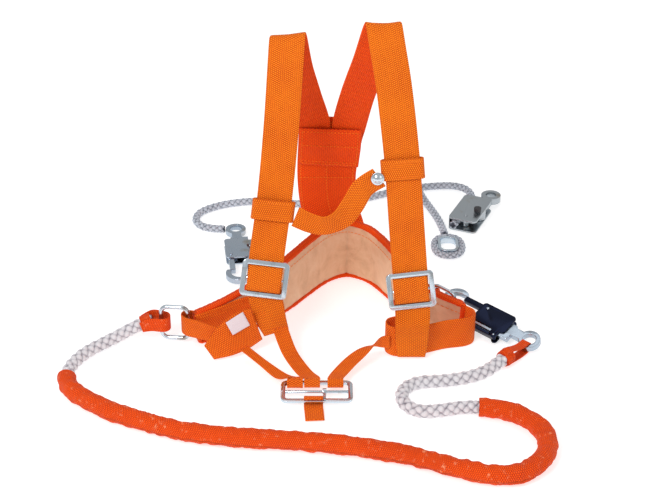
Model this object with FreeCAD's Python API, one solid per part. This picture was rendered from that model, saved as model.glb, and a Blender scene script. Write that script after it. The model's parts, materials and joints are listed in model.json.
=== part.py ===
"""Safety harness vest: waist pad and belt, shoulder straps, chest strap, lanyard, snap hooks, rope grab.

The harness stands on the lower edge of its belt, open to the front (-Y), as it sits on a wearer.
Millimetres, +Z up. The origin is on the floor, under the middle of the harness without its ropes.
"""
import FreeCAD, Part
import math
import os

V = FreeCAD.Vector

# Driving dimensions -------------------------------------------------------------------------
WEB_WIDTH = 45.0            # load-bearing webbing
WEB_THICK = 2.5
CHEST_WIDTH = 30.0          # chest and waist strap webbing
CHEST_THICK = 2.0
PAD_THICK = 8.0             # foam core of the waist pad
LINING_THICK = 1.2          # suede face on the wearer's side
GAP = 0.4                   # clearance between pieces that only touch
LANYARD_D = 18.0            # plaited safety rope
SLEEVE_OD = 24.0            # webbing sleeve over the rope
SLEEVE_ID = 19.0
ROPE_D = 12.0               # grey rope that the grab runs on
ADJ_WIDTH = 62.0            # strap adjuster frame, along the bar
ADJ_HEIGHT = 49.0
ADJ_ROD = 6.5
ADJ_THICK = 4.0
RING_ROD = 6.0
RING_CORNER = 12.0
BUCKLE_WIDTH = 92.0         # front buckle frame, along its bar
BUCKLE_DEPTH = 46.0
BUCKLE_ROD = 6.0
PLATE = 2.5                 # rope grab side plate
SHIFT = V(8.9, -7.5, 0.0)   # puts the origin under the middle of the harness

# Rope routes, on the floor, from the harness outwards ---------------------------------------
LANYARD_ROUTE = [
    (-230, 12, 29), (-251, 8, 22), (-272, -2, 14), (-295, -20, 11), (-317, -45, 12), (-333, -82, 12),
    (-328, -119, 12), (-306, -144, 12), (-272, -170, 12), (-232, -192, 12), (-186, -212, 12),
    (-134, -226, 12), (-78, -232, 12), (-20, -238, 12), (34, -246, 12), (84, -258, 12),
    (130, -276, 12), (176, -298, 12), (220, -306, 12), (256, -288, 12), (275, -252, 12),
    (272, -212, 12), (246, -180, 12), (212, -166, 12), (178, -164, 12), (148, -170, 10),
    (119, -172, 9.2), (100, -153, 9.2), (100, -125, 9.2), (119, -106, 9.2), (148, -104, 9.2),
    (180, -98, 9.2), (207, -86, 9.2), (228, -65, 10), (245, -46.5, 13),
]
SLEEVE_FROM = 6             # the sleeve covers the route from this point
SLEEVE_TO = 23              # to this one
REAR_ROUTE = [
    (-148, 298, 8), (-172, 302, 6), (-192, 320, 6), (-192, 348, 6), (-172, 368, 6), (-144, 382, 6),
    (-110, 389, 6), (-76, 387, 6), (-40, 380, 6), (-4, 378, 6),
    (36, 385, 6), (74, 402, 6), (112, 422, 6), (150, 434, 6), (182, 438, 7), (208, 434, 9),
    (226, 418, 10.5), (231.2, 389.2, 10.5), (213, 344.6, 10.5), (194.4, 304.5, 10.5),
]
WRAP_LONG = 13.0            # webbing wrap at each end of the lanyard
BRANCH_ROUTE = [(150, 420, 6), (155, 396, 6), (164, 368, 6), (172, 340, 6), (178, 312, 6), (181, 286, 6)]

made = {}
cord_nodes = []


def keep(name, shape, cord=False):
    """Store a sub-part; every piece is one closed solid or a group of them."""
    shape = shape.copy()
    shape.translate(SHIFT)
    made[name] = shape
    if cord:
        cord_nodes.append(name)


def box(low, high):
    solid = Part.makeBox(high[0] - low[0], high[1] - low[1], high[2] - low[2])
    solid.translate(V(*low))
    return solid


def cylinder(radius, start, end):
    start = V(*start)
    end = V(*end)
    return Part.makeCylinder(radius, (end - start).Length, start, end - start)


def placed(shape, origin, x_axis, y_axis):
    """A shape drawn in a local frame, moved to where its origin and axes lie on the object."""
    x = V(*x_axis).normalize()
    z = x.cross(V(*y_axis)).normalize()
    y = z.cross(x)
    out = shape.copy()
    matrix = FreeCAD.Matrix(x.x, y.x, z.x, origin[0], x.y, y.y, z.y, origin[1],
                            x.z, y.z, z.z, origin[2], 0, 0, 0, 1)
    out.Placement = FreeCAD.Placement(matrix).multiply(out.Placement)
    return out


def band(stations, thick, offset=0.0):
    """Webbing lofted through stations of (centre, width direction, width).

    offset moves the band along its own normal, so layers share one list of stations.
    """
    centres = [V(*s[0]) for s in stations]
    wires = []
    for i, (centre, width_dir, width) in enumerate(stations):
        ahead = centres[min(i + 1, len(centres) - 1)] - centres[max(i - 1, 0)]
        across = V(*width_dir).normalize()
        normal = ahead.cross(across).normalize()
        mid = V(*centre) + normal * offset
        a = across * (width / 2)
        n = normal * (thick / 2)
        corners = [mid - a - n, mid + a - n, mid + a + n, mid - a + n]
        wires.append(Part.makePolygon(corners + corners[:1]))
    return Part.makeLoft(wires, True, True)


def cord_path(points, radii=None):
    """Straight runs joined by tangent arcs; each arc is as large as its two runs allow."""
    pts = [V(*p) for p in points]
    used = []
    edges = []
    last = pts[0]
    for i in range(1, len(pts) - 1):
        back = pts[i - 1] - pts[i]
        ahead = pts[i + 1] - pts[i]
        run = min(back.Length, ahead.Length)
        back.normalize()
        ahead.normalize()
        turn = math.pi - back.getAngle(ahead)
        radius = 0.45 * run / math.tan(turn / 2) if radii is None else radii[i]
        cut = radius * math.tan(turn / 2)
        start = pts[i] + back * cut
        end = pts[i] + ahead * cut
        bisector = (back + ahead).normalize()
        centre = pts[i] + bisector * (radius / math.cos(turn / 2))
        middle = centre - bisector * radius
        edges.append(Part.LineSegment(last, start).toShape())
        edges.append(Part.Arc(start, middle, end).toShape())
        last = end
        used.append(radius)
    edges.append(Part.LineSegment(last, pts[-1]).toShape())
    return Part.Wire(edges), [0.0] + used + [0.0]


def disc(wire, radius):
    start = wire.Edges[0]
    tangent = start.tangentAt(start.FirstParameter)
    circle = Part.Circle(start.valueAt(start.FirstParameter), tangent, radius)
    return Part.Wire([circle.toShape()])


def cord(name, points, diameter, radii=None):
    """A round cord swept along its route, reported with its radii and its volume."""
    wire, used = cord_path(points, radii)
    solid = wire.makePipeShell([disc(wire, diameter / 2)], True, False)
    expected = math.pi * (diameter / 2) ** 2 * wire.Length
    tight = min(r for r in used if r > 0)
    print(f"{name}: length {wire.Length:.0f}, tightest radius {tight:.0f}, "
          f"volume/expected {solid.Volume / expected:.4f}")
    print("   radii", [round(r) for r in used[1:-1]])
    return solid, used


def midpoint(a, b):
    return tuple((p + q) / 2 for p, q in zip(a, b))


def slot_ring(width, height, rod, thick, corner):
    """A flat frame with rounded corners and a rounded opening, centred, normal along z."""
    outer = rounded_block(width, height, thick, corner)
    inner = rounded_block(width - 2 * rod, height - 2 * rod, thick + 2, max(corner - rod, 1.5))
    return outer.cut(inner)


def rod_ring(width, height, rod, corner):
    """A round-rod ring with rounded corners, centred, normal along z; width and height are outside."""
    bend = corner - rod / 2
    across = width / 2 - rod / 2
    up = height / 2 - rod / 2
    ring = None
    for sx, sy in ((1, 1), (-1, 1), (-1, -1), (1, -1)):
        turn = {(1, 1): 0, (-1, 1): 90, (-1, -1): 180, (1, -1): 270}[(sx, sy)]
        corner_piece = Part.makeTorus(bend, rod / 2, V(0, 0, 0), V(0, 0, 1), -180, 180, 90)
        corner_piece.rotate(V(0, 0, 0), V(0, 0, 1), turn)
        corner_piece.translate(V(sx * (across - bend), sy * (up - bend), 0))
        ring = corner_piece if ring is None else ring.fuse(corner_piece)
    for side in (-1, 1):
        ring = ring.fuse(cylinder(rod / 2, (bend - across, side * up, 0), (across - bend, side * up, 0)))
        ring = ring.fuse(cylinder(rod / 2, (side * across, bend - up, 0), (side * across, up - bend, 0)))
    return ring


def rounded_block(width, height, thick, corner):
    block = Part.makeBox(width, height, thick)
    block.translate(V(-width / 2, -height / 2, -thick / 2))
    upright = [e for e in block.Edges if abs(e.tangentAt(e.FirstParameter).z) > 0.9]
    return block.makeFillet(corner, upright)


# Waist: pad, lining, binding and belt -------------------------------------------------------
# (x, y) of the pad's middle, from the left end round the back to the right end, and its height
PAD_LINE = [
    (-168, 2, 46), (-132, 17, 56), (-98, 38, 66), (-70, 64, 74), (-46, 92, 80), (-20, 130, 84),
    (6, 163, 86), (34, 177, 86), (62, 164, 85), (82, 138, 82), (102, 102, 76), (124, 66, 64),
    (150, 42, 54), (186, 28, 44),
]


def belt_stations(most=200.0):
    """Stations along the pad, standing on the floor, no taller than most."""
    stations = []
    for x, y, height in PAD_LINE:
        tall = min(height, most)
        stations.append(((x, y, tall / 2), (0, 0, 1), tall))
    return stations


def waist():
    deeper = [((x, y, z - 0.5), up, tall + 1.0) for (x, y, z), up, tall in belt_stations()]
    floor_cut = box((-300, -300, -10), (300, 300, 0))
    keep("waist_pad_foam", band(deeper, PAD_THICK).cut(floor_cut))
    keep("waist_pad_lining", band(belt_stations(), LINING_THICK, (PAD_THICK + LINING_THICK) / 2))
    outside = -(PAD_THICK / 2 + GAP / 2 + WEB_THICK / 2)
    keep("waist_belt_webbing", band(belt_stations(43.0), WEB_THICK, outside))
    top = [((x, y, height + 2.2), (0, 0, 1), 4.0) for x, y, height in PAD_LINE]
    keep("waist_pad_binding", band(top, PAD_THICK + 2 * LINING_THICK))


def belt_ends():
    """The belt's ends turn to the front: a loop on the right, a rolled end and flap on the left."""
    right = [
        ((191, 24, 22.5), (0, 0, 1), 44), ((201, 14, 22.5), (0, 0, 1), 44),
        ((201, 2, 22.5), (0, 0, 1), 44), ((190, -7, 22.5), (0, 0, 1), 44),
        ((164, -13, 22.5), (0, 0, 1), 44), ((136, -24, 22.5), (0, 0, 1), 44),
        ((108, -33, 23.5), (0, 0, 1), 44), ((92, -34, 25.5), (0, 0, 1), 44),
        ((84, -27, 27), (0, 0, 1), 44), ((86, -17, 28), (0, 0, 1), 44), ((100, -11, 28), (0, 0, 1), 44),
    ]
    keep("right_belt_loop", band(right, WEB_THICK))
    left = [
        ((-88, -20, 43), (0, 0, 1), 54), ((-108, -28, 36), (0, 0.1, 1), 56),
        ((-130, -37, 25), (0, 0.2, 1), 44), ((-150, -44, 13.5), (0, 0.2, 1), 24),
    ]
    keep("left_belt_flap", band(left, WEB_THICK))
    label = [((-100.6, -27.0, 56), (0, 0.1, 1), 23), ((-123.2, -36.3, 46), (0, 0.15, 1), 21)]
    keep("blank_label", band(label, 0.6))
    rolled = [
        ((-168, -6, 28), (0, 0, 1), 40), ((-140, 6, 30), (0, 0, 1), 44), ((-112, 18, 33), (0, 0, 1), 50),
        ((-92, 22, 35), (0, 0, 1), 54),
    ]
    keep("left_belt_end", band(rolled, 3.0))


# Shoulder straps, dorsal panel and chest strap ------------------------------------------------
LEFT_ADJUSTER = (-77.0, 0.0, 101.0)
RIGHT_ADJUSTER = (115.0, -20.0, 96.5)
LEFT_ACROSS = (0.99, 0.0, -0.14)
RIGHT_ACROSS = (0.99, 0.0, 0.13)
LEFT_MID = (-63.0, 38.0, 202.0)
RIGHT_MID = (101.0, 30.0, 265.0)


def along(a, b, t):
    return tuple(p + (q - p) * t for p, q in zip(a, b))


def shoulder_straps():
    left = [
        ((-62, -14, 26), (1, 0, 0), 34), ((-72, -10, 58), (0.99, 0, -0.1), 42),
        (LEFT_ADJUSTER, LEFT_ACROSS, WEB_WIDTH), (LEFT_MID, (1, 0, -0.1), WEB_WIDTH),
        ((-54, 62, 290), (1, 0, 0.02), WEB_WIDTH), ((-48, 78, 370), (1, 0, 0.12), WEB_WIDTH),
        ((-46, 84, 398), (1, 0, 0.13), WEB_WIDTH), ((-45, 91, 406), (1, 0, 0.13), WEB_WIDTH),
        ((-43, 99, 400), (1, 0, 0.13), WEB_WIDTH), ((-36, 118, 350), (1, 0.1, 0.2), WEB_WIDTH),
        ((-25, 144, 298), (1, 0.05, 0.25), WEB_WIDTH), ((-13, 163, 246), (1, 0, 0.2), WEB_WIDTH),
        ((-12, 169, 215), (1, 0, 0.1), 36),
    ]
    keep("left_shoulder_strap", band(left, WEB_THICK))
    right = [
        ((117, -37.4, 3), (1, 0, 0), 36), ((117, -37.4, 26), (1, 0, 0), 42),
        ((117, -37.2, 51), (1, 0, 0.05), 44), ((117.5, -29.05, 66), (1, 0, 0.1), WEB_WIDTH),
        (RIGHT_ADJUSTER, RIGHT_ACROSS, WEB_WIDTH), (RIGHT_MID, (1, 0, 0.1), WEB_WIDTH),
        ((91, 60, 345), (1, 0, 0.03), WEB_WIDTH), ((82, 78, 396), (1, 0, 0), WEB_WIDTH),
        ((79, 84, 413), (1, 0, 0), WEB_WIDTH), ((77, 91, 421), (1, 0, 0), WEB_WIDTH),
        ((74, 99, 414), (1, 0, 0), WEB_WIDTH), ((62, 116, 362), (1, -0.05, -0.2), WEB_WIDTH),
        ((46, 142, 300), (1, -0.05, -0.25), WEB_WIDTH), ((35, 163, 243), (1, 0, -0.2), WEB_WIDTH),
        ((34, 169, 215), (1, 0, -0.1), 36),
    ]
    keep("right_shoulder_strap", band(right, WEB_THICK))


def dorsal_panel():
    stations = [
        ((11, 174.5, 252), (1, 0, -0.1), 84), ((9, 178, 215), (1, 0, -0.06), 84),
        ((5, 183, 160), (1, 0, -0.1), 80), ((8, 189, 110), (1, 0, -0.05), 78),
        ((20, 190, 70), (1, 0, 0), 76), ((24, 190, 46), (1, 0, 0), 74),
    ]
    keep("dorsal_panel", band(stations, 4.0))
    facing = [
        ((10, 159.8, 241), (1, 0, -0.08), 84), ((9, 165.0, 213), (1, 0, -0.06), 84),
        ((8, 171.2, 195), (1, 0, -0.06), 83), ((7, 175.6, 178), (1, 0, -0.08), 82),
    ]
    keep("dorsal_panel_facing", band(facing, 2.0))


DORSAL_RING_AT = (10.0, 190.0, 196.0)


def dorsal_ring():
    """A D-ring on the back panel, hanging in a webbing keeper."""
    d = rod_ring(56.0, 50.0, RING_ROD, RING_CORNER)
    keep("dorsal_ring", placed(d, DORSAL_RING_AT, (1, 0, 0), (0, 0, 1)))
    loop = [
        ((10, 183.0, 244), (1, 0, 0), 28), ((10, 191, 236), (1, 0, 0), 28),
        ((10, 195.2, 226), (1, 0, 0), 28), ((10, 195.4, 213), (1, 0, 0), 28),
        ((10, 191.5, 208.6), (1, 0, 0), 28), ((10, 187.0, 208.6), (1, 0, 0), 28),
    ]
    keep("dorsal_ring_keeper", band(loop, 1.8))


SNAP_AT = (70.0, 14.6, 241.0)


def chest_strap():
    main = [
        ((72, 19, 241), (0.2, 0, -1), CHEST_WIDTH), ((52, 19, 226), (0.62, 0, -0.78), CHEST_WIDTH),
        ((38, 16, 202), (0.85, 0, -0.5), CHEST_WIDTH), ((24, 14, 183), (0.62, 0.1, -0.78), CHEST_WIDTH),
        ((4, 14, 173), (-0.1, 0.2, -1), CHEST_WIDTH), ((-16, 18, 174), (-0.25, 0.1, -1), CHEST_WIDTH),
        ((-36, 24, 181), (-0.25, 0, -1), CHEST_WIDTH),
    ]
    keep("chest_strap", band(main, CHEST_THICK))
    wrap_right = wrap_stations((102.3, 25.6, 250), (1, 0, 0.08), (-0.08, 0.284, 0.955), 50.0, 5.2)
    keep("right_chest_keeper", band(wrap_right, CHEST_THICK))
    wrap_left = wrap_stations((-65.2, 32, 186), (1, 0, -0.12), (0.13, 0.349, 0.928), 50.0, 5.2)
    keep("left_chest_keeper", band(wrap_left, CHEST_THICK))
    cap = Part.makeSphere(9.5, V(0, 0, -6.8)).common(Part.makeCylinder(9.0, 4.0))
    washer = Part.makeCylinder(8.5, 0.9, V(0, 0, -1.2))
    keep("chest_snap_cap", placed(cap, SNAP_AT, (1, 0, 0), (0, 0.2, 0.98)))
    keep("chest_snap_washer", placed(washer, SNAP_AT, (1, 0, 0), (0, 0.2, 0.98)))


def wrap_stations(centre, across, up, width, depth):
    """A flat loop of webbing around a strap: stations once round it, nearly closed."""
    c = V(*centre)
    a = V(*across).normalize()
    u = V(*up).normalize()
    n = a.cross(u).normalize()
    half = width / 2
    corner = [(half - 2, -depth), (half + 1, -depth * 0.6), (half + 2.2, 0), (half + 1, depth * 0.6),
              (half - 2, depth), (-half + 2, depth), (-half - 1, depth * 0.6), (-half - 2.2, 0),
              (-half - 1, -depth * 0.6), (-half + 2, -depth), (half - 6, -depth)]
    stations = []
    for s, d in corner:
        p = c + a * s + n * d
        stations.append(((p.x, p.y, p.z), (u.x, u.y, u.z), CHEST_WIDTH - 4))
    return stations


# Strap adjusters ------------------------------------------------------------------------------
def adjuster(side, centre, across, towards):
    """A steel frame in front of the strap, with a bar and the webbing's hump over the bar."""
    a = V(*across).normalize()
    up = (V(*towards) - V(*centre)).normalize()
    front = a.cross(up).normalize()
    c = V(*centre) + front * (WEB_THICK / 2 + GAP + ADJ_THICK / 2)
    frame = slot_ring(ADJ_WIDTH, ADJ_HEIGHT, ADJ_ROD, ADJ_THICK, 6.0)
    bar = cylinder(1.8, (-ADJ_WIDTH / 2 + ADJ_ROD, 0, 0), (ADJ_WIDTH / 2 - ADJ_ROD, 0, 0))
    keep(f"{side}_adjuster_frame", placed(frame, c, a, up))
    keep(f"{side}_adjuster_bar", placed(bar, c, a, up))
    hump = [((0, 16.5 * math.cos(t), 5.2 * math.sin(t) - 0.6), (1, 0, 0), 43)
            for t in (0.0, math.pi / 6, math.pi / 3, math.pi / 2, math.pi * 2 / 3, math.pi * 5 / 6, math.pi)]
    keep(f"{side}_adjuster_hump", placed(band(hump, 2.0), c, a, up))


# Front waist straps and buckle ----------------------------------------------------------------
BUCKLE_AT = (-8.0, -130.0, 11.0)


def front_waist():
    bx, by, bz = BUCKLE_AT
    rear_bar = by + BUCKLE_DEPTH / 2 - BUCKLE_ROD / 2
    frame = slot_ring(BUCKLE_WIDTH, BUCKLE_DEPTH, BUCKLE_ROD, 4.0, 9.0)
    frame.translate(V(bx, by, bz))
    keep("front_buckle_frame", frame)
    half = BUCKLE_WIDTH / 2 - BUCKLE_ROD
    keep("front_buckle_bar", cylinder(2.2, (bx - half, by, bz), (bx + half, by, bz)))
    tongue = cylinder(1.9, (bx + 10, by - 4.0, bz), (bx + 10, by - BUCKLE_DEPTH / 2 - 1, bz + 6.4))
    eye = cylinder(4.6, (bx + 7.5, by, bz), (bx + 12.5, by, bz))
    bore = cylinder(2.3, (bx + 6, by, bz), (bx + 14, by, bz))
    keep("front_buckle_tongue", tongue.fuse(eye).cut(bore))
    waist_webs = {
        "left_lower_waist_strap": (-36.0, [
            ((-104, -40, 18), (0.8, 0.6, 0), 13), ((-78, -66, 12), (1, 0.25, 0), 13),
            ((-54, -92, 9), (1, 0.25, 0), 17)]),
        "left_upper_waist_strap": (-14.0, [
            ((-57, -18, 36), (1, 0.3, 0.1), 20), ((-44, -52, 20), (1, 0.25, 0), 20),
            ((-26, -86, 13), (1, 0.25, 0), 20)]),
        "right_waist_strap": (16.0, [
            ((88, -37.6, 27), (0.55, 0, 0.83), 20), ((74, -39, 26), (0.7, -0.05, 0.7), 20),
            ((58, -47, 22), (0.88, -0.15, 0.4), 20), ((38, -64, 15), (1, -0.2, 0.1), 20),
            ((22, -88, 12), (1, -0.25, 0), 20)]),
    }
    for name, (x, lead) in waist_webs.items():
        keep(name, band(lead + bar_wrap(x, rear_bar, bz, 20.0), 1.6))
    tail = bar_wrap(bx - 4, by - BUCKLE_DEPTH / 2 + BUCKLE_ROD / 2, bz, 24.0, forward=True)
    tail += [((bx - 3, by - 36, 3.4), (1, 0.1, 0), 24.0), ((bx - 2, by - 50, 2.2), (1, 0.1, 0), 24.0)]
    keep("front_strap_tail", band(tail, 1.8))


def bar_wrap(x, y, z, width, forward=False):
    """Stations that carry webbing over a frame bar and back under it."""
    reach = -1.0 if forward else 1.0
    out = []
    for dy, dz in ((4.5, 4.6), (0.0, 5.6), (-4.6, 3.6), (-5.8, 0.0), (-4.6, -3.6), (0.0, -5.6), (6.0, -5.4)):
        out.append(((x, y + reach * dy, z + dz), (1, 0, 0), width))
    return out


# Side rings -----------------------------------------------------------------------------------
LEFT_RING_AT = (-198.0, 3.0, 31.0)
RIGHT_RING_LONG = 40.0
RIGHT_RING_OUT = 19.0       # ring centre beyond the centre of the hook's bend


def side_rings():
    ring = rod_ring(42.0, 54.0, RING_ROD, RING_CORNER)
    keep("left_side_ring", placed(ring, LEFT_RING_AT, (1, -0.1, 0), (0, 0, 1)))
    loop = [
        ((-134, -29, 29), (0, 0, 1), 24), ((-152, -20.5, 30), (0, 0, 1), 26), ((-171, -11.5, 30), (0, 0, 1), 28),
        ((-182, -6.5, 30), (0, 0, 1), 28), ((-188.5, 2, 30), (0, 0, 1), 28),
        ((-187, 9.5, 30), (0, 0, 1), 28), ((-179, 12.5, 30), (0, 0, 1), 28), ((-170, 10.5, 30), (0, 0, 1), 28),
    ]
    keep("left_ring_keeper", band(loop, 1.8))
    origin, length_axis, gate_side = FRONT_HOOK_AT
    long_dir = V(*length_axis).normalize()
    across = long_dir.cross(V(*gate_side)).normalize()
    gate_dir = across.cross(long_dir)
    bend = V(*origin) + gate_dir * HOOK_BEND[1]
    centre = bend + long_dir * (HOOK_BEND[0] + RIGHT_RING_OUT)
    small = rod_ring(RIGHT_RING_LONG, 34.0, 5.0, RING_CORNER)
    keep("right_side_ring", placed(small, centre, long_dir, across))
    far_bar = centre + long_dir * (RIGHT_RING_LONG / 2 - 2.5)
    tab = [((147, 62, 42), (0.8, -0.5, 0), 16), ((146, 74, 42), (0.75, -0.2, -0.4), 15)]
    for out, up in ((5.6, -3.0), (4.2, 4.2), (0.0, 5.6), (-4.2, 4.2), (-5.6, -2.0)):
        p = far_bar + long_dir * out + gate_dir * up
        tab.append(((p.x, p.y, p.z), (across.x, across.y, across.z), 14))
    keep("right_ring_tab", band(tab, 1.6))


# Snap hooks -----------------------------------------------------------------------------------
HOOK_CORE = 8.0             # steel thickness
HOOK_BEND = (128.0, 4.0)    # centre of the bend at the nose
BEND_OUT = 20.0
BEND_IN = 12.0
HOOK_PIVOT = (78.0, 12.5)
LEVER_PIVOT = (44.0, -20.5)
CHEEK = 2.0                 # housing side plates


def hook_pieces():
    """A snap hook in its own frame: eye at the origin, nose along x, gate on the +y side."""
    t = HOOK_CORE / 2
    bx, by = HOOK_BEND
    eye = cylinder(15.0, (0, 0, -t), (0, 0, t))
    neck = box((8, -7, -t), (40, 7, t)).fuse(box((26, by - BEND_OUT, -t), (40, 10, t)))
    spine = box((30, by - BEND_OUT, -t), (bx, by - BEND_IN, t))
    bend = cylinder(BEND_OUT, (bx, by, -t), (bx, by, t))
    bend = bend.cut(cylinder(BEND_IN, (bx, by, -t - 1), (bx, by, t + 1)))
    bend = bend.cut(box((bx - 30, by - BEND_IN, -t - 1), (bx, by + BEND_IN, t + 1)))
    bend = bend.cut(box((bx - 30, by - 25, -t - 1), (bx - 10, by + 25, t + 1)))
    body = eye.fuse([neck, spine, bend])
    body = body.cut(cylinder(9.0, (0, 0, -t - 1), (0, 0, t + 1)))
    px, py = HOOK_PIVOT
    lx, ly = LEVER_PIVOT
    housing = None
    for side in (-1, 1):
        cheek = rounded_cheek().fuse(cylinder(4.5, (lx, ly, -CHEEK / 2), (lx, ly, CHEEK / 2)))
        cheek = cheek.fuse(box((lx - 4.5, ly, -CHEEK / 2), (lx + 8, -8, CHEEK / 2)))
        cheek.translate(V(0, 0, side * (t + 0.3 + CHEEK / 2)))
        housing = cheek if housing is None else housing.fuse(cheek)
    housing = housing.fuse(box((41, py - 8, -t - 0.5), (66, py + 6, t + 0.5)))
    housing = housing.cut(cylinder(2.0, (px, py, -9), (px, py, 9)))
    housing = housing.cut(cylinder(1.5, (lx, ly, -9), (lx, ly, 9)))
    root = cylinder(5.0, (px, py, -t), (px, py, t))
    gate = root.fuse(box((px, py - 3.5, -t), (bx - 10.4, py + 4.4, t)))
    gate = gate.cut(cylinder(2.06, (px, py, -t - 1), (px, py, t + 1)))
    gate = gate.cut(cylinder(3.9, (px, py, -3.0), (px, py, 3.0)))
    pin = cylinder(2.0, (px, py, -t - 3.4), (px, py, t + 3.4))
    spring = cylinder(3.4, (px, py, -2.6), (px, py, 2.6)).cut(cylinder(2.4, (px, py, -4), (px, py, 4)))
    lever = cylinder(2.8, (lx, ly, -t), (lx, ly, t)).fuse(box((lx, ly - 2.2, -t), (88, ly + 2.2, t)))
    lever = lever.cut(cylinder(1.56, (lx, ly, -t - 1), (lx, ly, t + 1)))
    lever_pin = cylinder(1.5, (lx, ly, -t - 3.4), (lx, ly, t + 3.4))
    pins = Part.makeCompound([pin, spring, lever_pin])
    return {"body": body, "housing": housing, "gate": gate, "lock_lever": lever, "pins": pins}


def rounded_cheek():
    plate = box((34, -12, -CHEEK / 2), (88, 20, CHEEK / 2))
    upright = [e for e in plate.Edges if abs(e.tangentAt(e.FirstParameter).z) > 0.9]
    return plate.makeFillet(5.0, upright)


FRONT_HOOK_AT = ((275.0, -15.6, 13.4), (-0.74, 0.669, 0.05), (0.64, 0.70, 0.33))
REAR_HOOK_AT = ((-130.0, 292.0, 8.5), (0.12, -0.99, 0.0), (-0.99, -0.12, 0.0))


def hooks():
    for name, (origin, length_axis, gate_side) in (("front", FRONT_HOOK_AT), ("rear", REAR_HOOK_AT)):
        for piece, shape in hook_pieces().items():
            keep(f"{name}_hook_{piece}", placed(shape, origin, length_axis, gate_side), cord=True)


# Rope grab ------------------------------------------------------------------------------------
GRAB_AT = ((212.0, 345.0, 10.5), (0.40, 0.92, 0.0), (0.92, -0.40, 0.0))
CAM_PIVOT = (6.0, 21.0)
EYELET = (62.0, 24.0)
ROLLER = (-24.0, 13.0)
KNOB = (-8.0, 26.0)


def grab():
    """The rope grab lies on its side; the rope runs along its x axis, the cam is on the +y side."""
    inside = 7.4
    pieces = {}
    shell = box((-40, -10, -inside - PLATE), (40, 34, inside + PLATE))
    upright = [e for e in shell.Edges if abs(e.tangentAt(e.FirstParameter).z) > 0.9]
    shell = shell.makeFillet(7.0, upright).cut(box((-45, -7.5, -inside), (45, 40, inside)))
    for (x, y), r in ((CAM_PIVOT, 3.0), (ROLLER, 2.5)):
        shell = shell.cut(cylinder(r, (x, y, -20), (x, y, 20)))
    shell = shell.cut(cylinder(2.1, (KNOB[0], KNOB[1], -20), (KNOB[0], KNOB[1], 0)))
    pieces["grab_housing"] = shell
    cx, cy = CAM_PIVOT
    ex, ey = EYELET
    cam = cylinder(13.0, (cx, cy, -6.9), (cx, cy, 6.9))
    arm = box((cx, cy - 6, -5), (ex, cy + 9, 5))
    eyelet = cylinder(15.0, (ex, ey, -5), (ex, ey, 5))
    cam = cam.fuse([arm, eyelet])
    cam = cam.cut(cylinder(3.06, (cx, cy, -20), (cx, cy, 20)))
    pieces["grab_cam_arm"] = cam.cut(cylinder(8.0, (ex, ey, -20), (ex, ey, 20)))
    cam_pin = cylinder(3.0, (cx, cy, -inside - 3.0), (cx, cy, inside + 3.0))
    rx, ry = ROLLER
    roller = cylinder(5.5, (rx, ry, -6.9), (rx, ry, 6.9)).cut(cylinder(2.56, (rx, ry, -9), (rx, ry, 9)))
    pieces["grab_roller"] = roller
    roller_pin = cylinder(2.5, (rx, ry, -inside - 3.0), (rx, ry, inside + 3.0))
    pieces["grab_pins"] = Part.makeCompound([cam_pin, roller_pin])
    kx, ky = KNOB
    top = -inside - PLATE
    stem = cylinder(2.04, (kx, ky, top - 5), (kx, ky, top + PLATE - 0.2))
    pieces["grab_lock_knob"] = stem.fuse(cylinder(5.5, (kx, ky, top - 8), (kx, ky, top - 1.6)))
    spring = cylinder(3.4, (kx, ky, top - 1.5), (kx, ky, top - 0.05))
    pieces["grab_knob_spring"] = spring.cut(cylinder(2.4, (kx, ky, top - 3), (kx, ky, top + 1)))
    for name, shape in pieces.items():
        keep(name, placed(shape, *GRAB_AT), cord=True)


# Ropes ----------------------------------------------------------------------------------------
def ropes():
    rope, radii = cord("lanyard_rope", LANYARD_ROUTE, LANYARD_D)
    keep("lanyard_rope", rope, cord=True)
    inner = LANYARD_ROUTE[SLEEVE_FROM:SLEEVE_TO + 1]
    start = midpoint(LANYARD_ROUTE[SLEEVE_FROM - 1], inner[0])
    end = midpoint(inner[-1], LANYARD_ROUTE[SLEEVE_TO + 1])
    route = [start] + inner + [end]
    arcs = [0.0] + radii[SLEEVE_FROM:SLEEVE_TO + 1] + [0.0]
    outer, _ = cord("lanyard_sleeve", route, SLEEVE_OD, arcs)
    bore, _ = cord("lanyard_sleeve bore", route, SLEEVE_ID, arcs)
    keep("lanyard_sleeve", outer.cut(bore), cord=True)
    rear, _ = cord("rear_rope", REAR_ROUTE, ROPE_D)
    keep("rear_rope", rear, cord=True)
    branch, _ = cord("branch_rope", BRANCH_ROUTE, ROPE_D)
    keep("branch_rope", branch, cord=True)


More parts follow.
